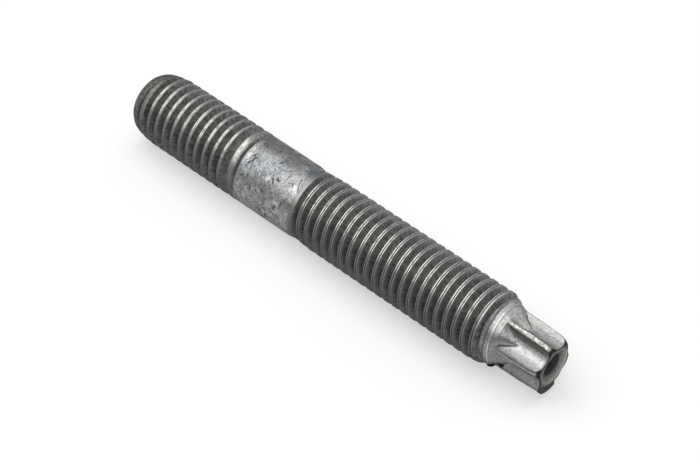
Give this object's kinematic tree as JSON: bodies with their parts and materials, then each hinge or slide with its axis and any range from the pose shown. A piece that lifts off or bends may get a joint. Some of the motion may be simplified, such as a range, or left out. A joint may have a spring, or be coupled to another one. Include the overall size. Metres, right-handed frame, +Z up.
{
  "type": "threaded stud",
  "caption": "Double-ended metric threaded stud with a plain shank and an external six-lobe drive end.",
  "frame": {"origin": "middle of the lying stud's length, on the surface that it lies on", "axes": "+X along the stud's axis towards its drive end, +Z up; the axis is 5 mm above the origin"},
  "size_m": [0.072, 0.01, 0.01],
  "materials": {
    "steel": "zinc-flake coated steel, worn and slightly dull"
  },
  "bodies": {
    "root": {"stud": "steel"}
  },
  "joints": []
}
